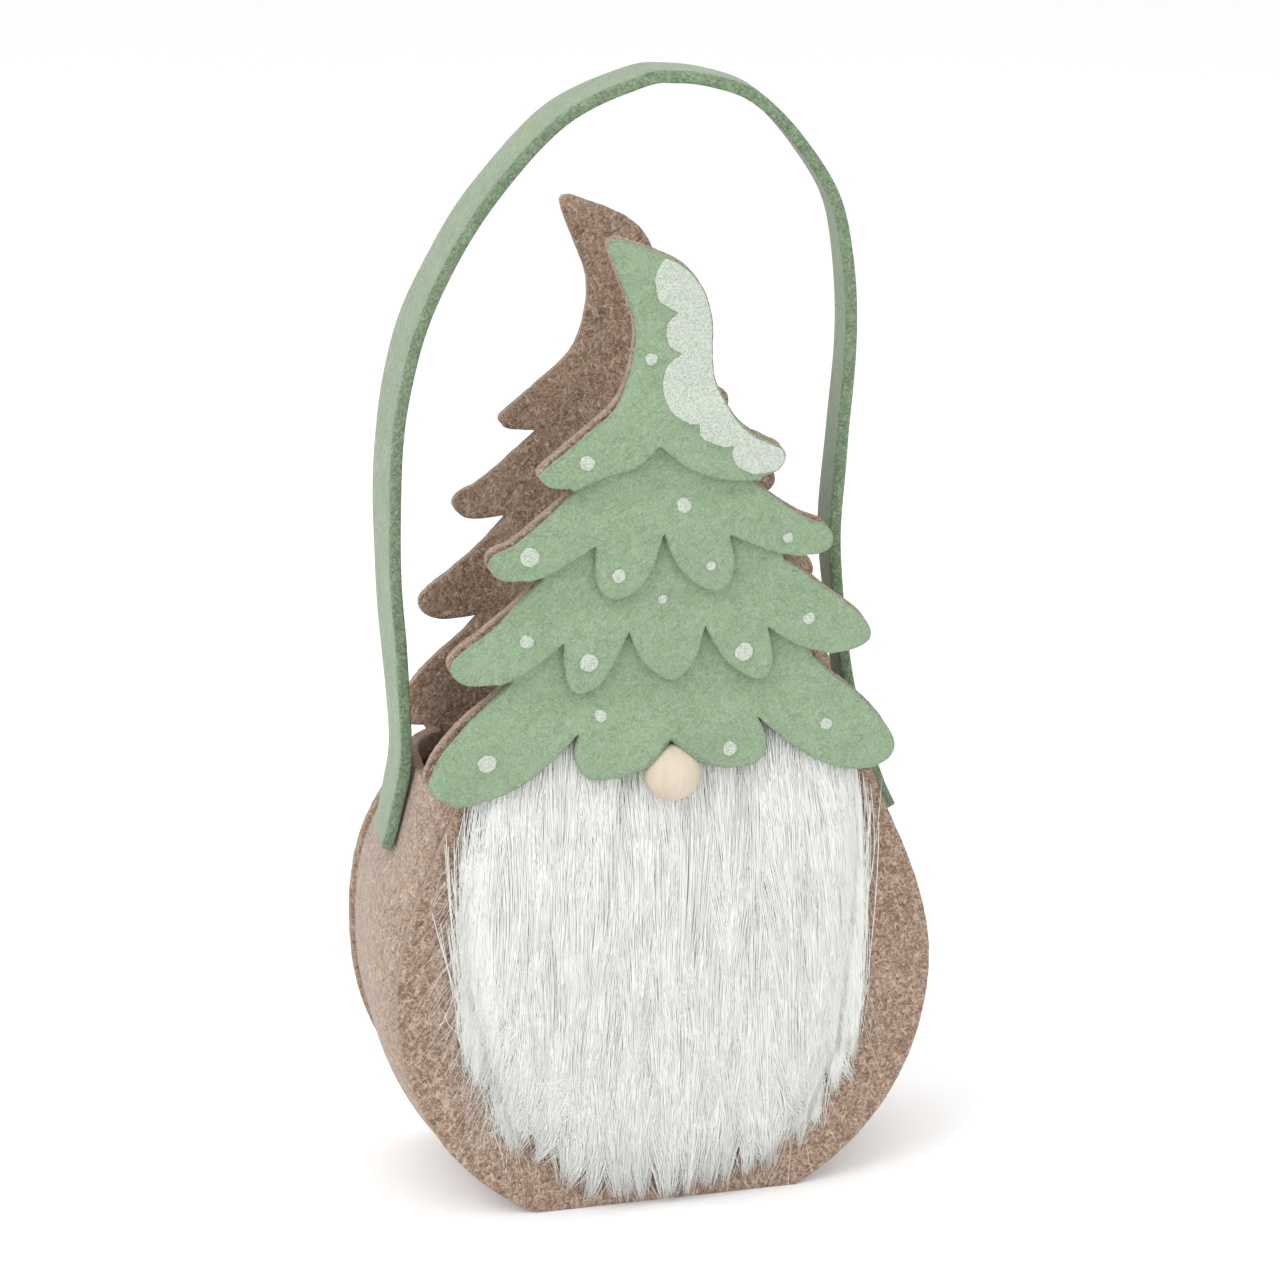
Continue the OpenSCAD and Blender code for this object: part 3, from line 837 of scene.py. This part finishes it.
paint("snow_on_hat", snow_ring(), "hat_tier_top", 0.9)
for k, (dot_x, dot_z, dot_r, dot_tier) in enumerate(DOTS):
    tier = "hat_brim" if dot_tier == "brim" else "hat_tier_" + dot_tier
    paint(f"dot_{k + 1}", dot_ring(dot_x, dot_z, dot_r, k), tier, 0.5)


# ---------------------------------------------------------------- beard
# Height and how far the fur stands off there; height and the border's x; each lock's tip
FUR_DEPTH = [(0, 3.0), (15, 4.5), (35, 6.5), (60, 8.5), (105, 9.5), (126, 8.0), (136, 5.0),
             (141, 3.8), (158, 2.8)]
BEARD_LEFT = [(4, -24), (20, -45), (50, -55), (80, -61), (110, -63), (125, -62.5), (140, -59),
              (158, -56)]
BEARD_RIGHT = [(4, 24), (20, 42), (50, 53), (80, 56), (110, 57.5), (138, 57.5), (158, 54)]
LOCK_TIPS = [(-57, 46), (-52, 30), (-49, 22), (-41, 19), (-37, 26), (-31, 9), (-25, 4), (-15, 4),
             (-8, 3), (-1, 2), (6, 2), (13, 3), (18, 6), (26, 5), (32, 6), (36, 18), (41, 14),
             (47, 20), (53, 32), (57, 34)]
# Heights of the rows of roots
LOCK_ROWS = (36, 42, 48, 55, 62, 70, 79, 88, 98, 108, 118, 128, 138, 147, 156)
LOCK_GAP = 8                      # between the roots in a row
LOCK_STRANDS = 110
LOCK_SPREAD = 4.4                 # how widely a lock's strands start
FUR_PIECES = 6                    # the strands are shared among this many pieces
WISPS = [(-1, 330), (1, 120), (0, 330)]        # side (0 is anywhere on the beard) and count
BACKING = 1.2                     # thickness of the backing
ROOT_TOP = 158                    # no hair starts higher than this
BRIM_COVER = 140                  # roots above this stay inside the borders, where the brim hides them
STRAND_POINTS = 9


def along(table, at):
    """The table's second column at a height, between its rows."""
    keys = [row[0] for row in table]
    return np.interp(at, keys, [row[1] for row in table])


def fur_edge(x, z):
    """0 at the beard's left and right borders, rising to 1 inside it."""
    near = np.minimum(x - along(BEARD_LEFT, z), along(BEARD_RIGHT, z) - x)
    return np.sin(0.5 * math.pi * np.clip(near / 10, 0, 1))


def make_backing():
    """Matted underfur that the locks lie on, close below their surface."""
    levels = np.linspace(40, 157, 36)
    ring = [np.array((along(BEARD_RIGHT, z) - 5 - 6 * ease(90, 40, z), z)) for z in levels]
    ring += [np.array((along(BEARD_LEFT, z) + 5 + 6 * ease(90, 40, z), z)) for z in levels[::-1]]

    def middle(x, z):
        relief = 0.4 * noise.noise(Vector((x / 2.4, z / 34, 4.0)))
        relief += 0.6 * noise.noise(Vector((x / 8, z / 40, 1.0)))
        stand = (0.76 * along(FUR_DEPTH, z) + relief) * float(fur_edge(x, z)) ** 1.5
        stand *= 1 - 0.35 * ease(128, 146, z)
        return x, -(BAG_Y + 0.7 + stand * (0.1 + 0.9 * ease(38, 66, z))), z
    # The backing's darker white is painted shade of the deep pile
    obj, area = sheet_object("beard_backing", ring, middle, BACKING, (FUR_BACK_SHADED, FUR_BACK_SHADED), step=2.0,
                             rough=0.3, sign=1, seed=31)
    keep(obj, "bag", ("beard",))
    size = (float(max(p[0] for p in ring) - min(p[0] for p in ring)), float(levels[-1] - levels[0]))
    return obj, area, size


def lock_roots(rng):
    """Where each lock starts: rows of jittered places, closer together near the hem."""
    roots = []
    for z0 in LOCK_ROWS:
        left, right = along(BEARD_LEFT, z0) + 1.5, along(BEARD_RIGHT, z0) - 1.5
        count = int((right - left) / LOCK_GAP)
        for c in range(count):
            roots.append((left + (c + 0.5 + rng.uniform(-0.35, 0.35)) * (right - left) / count,
                          z0 + rng.uniform(-4, 4)))
    return roots


def lock_strands(rng, x0, z0):
    """One lock: strands spread at the root that draw together into a point."""
    length = rng.uniform(50, 80)
    tip_x = x0 + (0.09 * (x0 + 3) + rng.normal(0, 2.4)) * length / 60
    tip_x = min(max(tip_x, -62), 58)
    tip_z = z0 - length
    share = ease(50, 22, tip_z)
    if share > 0:
        hem_x, hem_z = min(LOCK_TIPS, key=lambda tip: abs(tip[0] - tip_x) + rng.uniform(0, 2))
        tip_x += (hem_x - tip_x + rng.normal(0, 0.8)) * share
        tip_z = max(tip_z, hem_z + abs(rng.normal(0, 3)))
    if z0 - tip_z < 10:
        return [], []
    t = np.linspace(0, 1, STRAND_POINTS)
    spread = rng.normal(0, LOCK_SPREAD, LOCK_STRANDS)
    bend, sway, phase = rng.normal(0, 1.5), rng.normal(0, 0.7), rng.uniform(0, 6.3)
    top = rng.uniform(0.95, 1.02)
    paths, radii = [], []
    for k in range(LOCK_STRANDS):
        start_z = min(z0 + rng.normal(0, 4), ROOT_TOP)
        start_x = x0 + spread[k]
        if start_z > BRIM_COVER:
            start_x = min(max(start_x, along(BEARD_LEFT, start_z)), along(BEARD_RIGHT, start_z))
        end_x = tip_x + spread[k] * rng.uniform(0.03, 0.3) + rng.normal(0, 0.5)
        end_z = tip_z + abs(rng.normal(0, 9 + 6 * share)) - 2.5
        x = start_x + (end_x - start_x) * t ** 1.15 + (bend + rng.normal(0, 0.25)) * np.sin(math.pi * t)
        x += sway * np.sin(t * 6.0 + phase) * t
        z = np.maximum(start_z + (end_z - start_z) * t, 1.5)
        crown = 1 - 0.04 * min((spread[k] / LOCK_SPREAD) ** 2, 3)
        depth = along(FUR_DEPTH, z) * (0.86 + 0.14 * np.sin(0.5 * math.pi * np.minimum(t * 3, 1))) * top
        depth = (depth * crown + rng.normal(0, 0.12)) * (1 - 0.25 * t ** 3)
        y = -(BAG_Y + 0.6 + depth * (0.12 + 0.88 * fur_edge(x, z)))
        near = np.hypot(x - NOSE[0], z - NOSE[2])
        hit = near < NOSE_R + 0.6
        x = np.where(hit, NOSE[0] + (x - NOSE[0]) * (NOSE_R + 0.6) / np.maximum(near, 1), x)
        paths.append(np.column_stack([x, y, z]))
        radii.append(rng.uniform(0.1, 0.18))
    return paths, radii


def make_beard():
    """A backing of matted underfur, covered by locks of combed strands."""
    rng = np.random.default_rng(20)
    mat, area, size = make_backing()
    paths, radii = [], []
    for x0, z0 in lock_roots(rng):
        more, sizes = lock_strands(rng, x0, z0)
        paths += more
        radii += sizes
    paths, radii = np.array(paths), np.array(radii)
    for g in range(FUR_PIECES):
        pick = np.arange(len(paths)) % FUR_PIECES == g
        obj = strands(f"beard_fur_{g + 1}", paths[pick], radii[pick], FUR)
        keep(obj, "bag")
    make_wisps(rng)


def make_wisps(rng):
    """Stray hairs: fanned out over the belly on the left, long and straight on the right, and a
    few anywhere on the beard."""
    steps = 12
    t = np.linspace(0, 1, steps)
    paths, radii = [], []
    for side, count in WISPS:
        for _ in range(count):
            if side:
                table = BEARD_LEFT if side < 0 else BEARD_RIGHT
                z0 = rng.uniform(45, 132) if side < 0 else rng.uniform(70, 146)
                x0 = along(table, z0) - side * rng.uniform(3, 9)
                slant = rng.normal(0.3, 0.25) * (1 if side < 0 else 0.6)
                length = rng.uniform(14, 44)
                depth0, depth1 = rng.uniform(2, 6), rng.uniform(0.5, 2.5)
            else:
                z0 = rng.uniform(26, 130) ** 0.9 * 1.5
                x0 = rng.uniform(-56, 52)
                slant = rng.normal(0, 0.2)
                length = rng.uniform(20, 48)
                depth0 = along(FUR_DEPTH, z0) + 0.5
                depth1 = along(FUR_DEPTH, z0 - length) + rng.uniform(0, 1.5)
            run = length / math.hypot(1, slant)
            x = x0 + (side or 1) * slant * run * t + rng.normal(0, 2.2) * np.sin(math.pi * t)
            x = x + rng.normal(0, 0.6) * np.sin(t * 9 + rng.uniform(0, 6))
            z = z0 - run * t + rng.normal(0, 1.5) * np.sin(math.pi * t)
            border = np.array([belly_x(min(max(h, 0), NECK_Z), HALF_W, 0) for h in z]) - 1.5
            if np.any(np.abs(x) > border):
                continue
            z = np.maximum(z, 1.5)
            y = -(BAG_Y + depth0 + (depth1 - depth0) * t)
            paths.append(np.column_stack([x, y, z]))
            radii.append(rng.uniform(0.035, 0.07))
    obj = strands("beard_wisps", paths, radii, FUR, tip=0.4, root=1.0)
    return keep(obj, "bag")


make_beard()


# ---------------------------------------------------------------- camera, light and floor
VIEW_AZIMUTH = -12.3
VIEW_ELEVATION = 18.8
VIEW_DISTANCE = 0.8527
VIEW_TARGET = Vector((-0.0022, 0.0, 0.1732))
LENS = 79.94
# name, azimuth, elevation, distance, size, power
LIGHTS = [("key", -58, 42, 1.6, 1.0, 10), ("fill", 35, 35, 1.8, 1.4, 4), ("top", 0, 85, 1.6, 1.4, 4)]
FLOOR_REACH = 30000               # half the floor's width


def direction(azimuth, elevation):
    """From the object towards a viewer; azimuth 0 is in front of it."""
    a, e = math.radians(azimuth), math.radians(elevation)
    return Vector((math.sin(a) * math.cos(e), -math.cos(a) * math.cos(e), math.sin(e)))


def aim(obj, at, target):
    obj.location = at
    obj.rotation_euler = (target - at).to_track_quat("-Z", "Y").to_euler()
    bpy.context.collection.objects.link(obj)


def make_camera():
    data = bpy.data.cameras.new("camera")
    data.lens = LENS
    data.sensor_width = 36
    data.sensor_fit = "HORIZONTAL"
    camera = bpy.data.objects.new("camera", data)
    aim(camera, VIEW_TARGET + direction(VIEW_AZIMUTH, VIEW_ELEVATION) * VIEW_DISTANCE, VIEW_TARGET)
    bpy.context.scene.camera = camera


def make_light(name, azimuth, elevation, distance, size, power):
    """A soft square light, aimed at the object from distance metres."""
    data = bpy.data.lights.new(name, "AREA")
    data.size = size
    data.energy = power
    at = VIEW_TARGET + direction(azimuth, elevation) * distance
    aim(bpy.data.objects.new(name, data), at, VIEW_TARGET)


def make_floor():
    n = Nodes("floor")
    shade = n.mix(n.noise(3.0, 1.0), (0.97, 0.97, 0.97, 1), (0.96, 0.96, 0.96, 1))
    n.put(n.shader.inputs["Base Color"], shade)
    n.shader.inputs["Roughness"].default_value = 0.9
    corners = [(x * FLOOR_REACH, y * FLOOR_REACH, 0) for x, y in ((-1, -1), (1, -1), (1, 1), (-1, 1))]
    obj = new_object("floor", corners, [[0, 1, 2, 3]], (n.material,))


def make_world():
    """Plain white light from all round."""
    world = bpy.data.worlds.new("studio")
    world.use_nodes = True
    background = world.node_tree.nodes["Background"]
    background.inputs["Color"].default_value = (1, 1, 1, 1)
    background.inputs["Strength"].default_value = 1.0
    bpy.context.scene.world = world


make_camera()
for light in LIGHTS:
    make_light(*light)
make_floor()
make_world()
bpy.context.scene.view_settings.view_transform = "Standard"
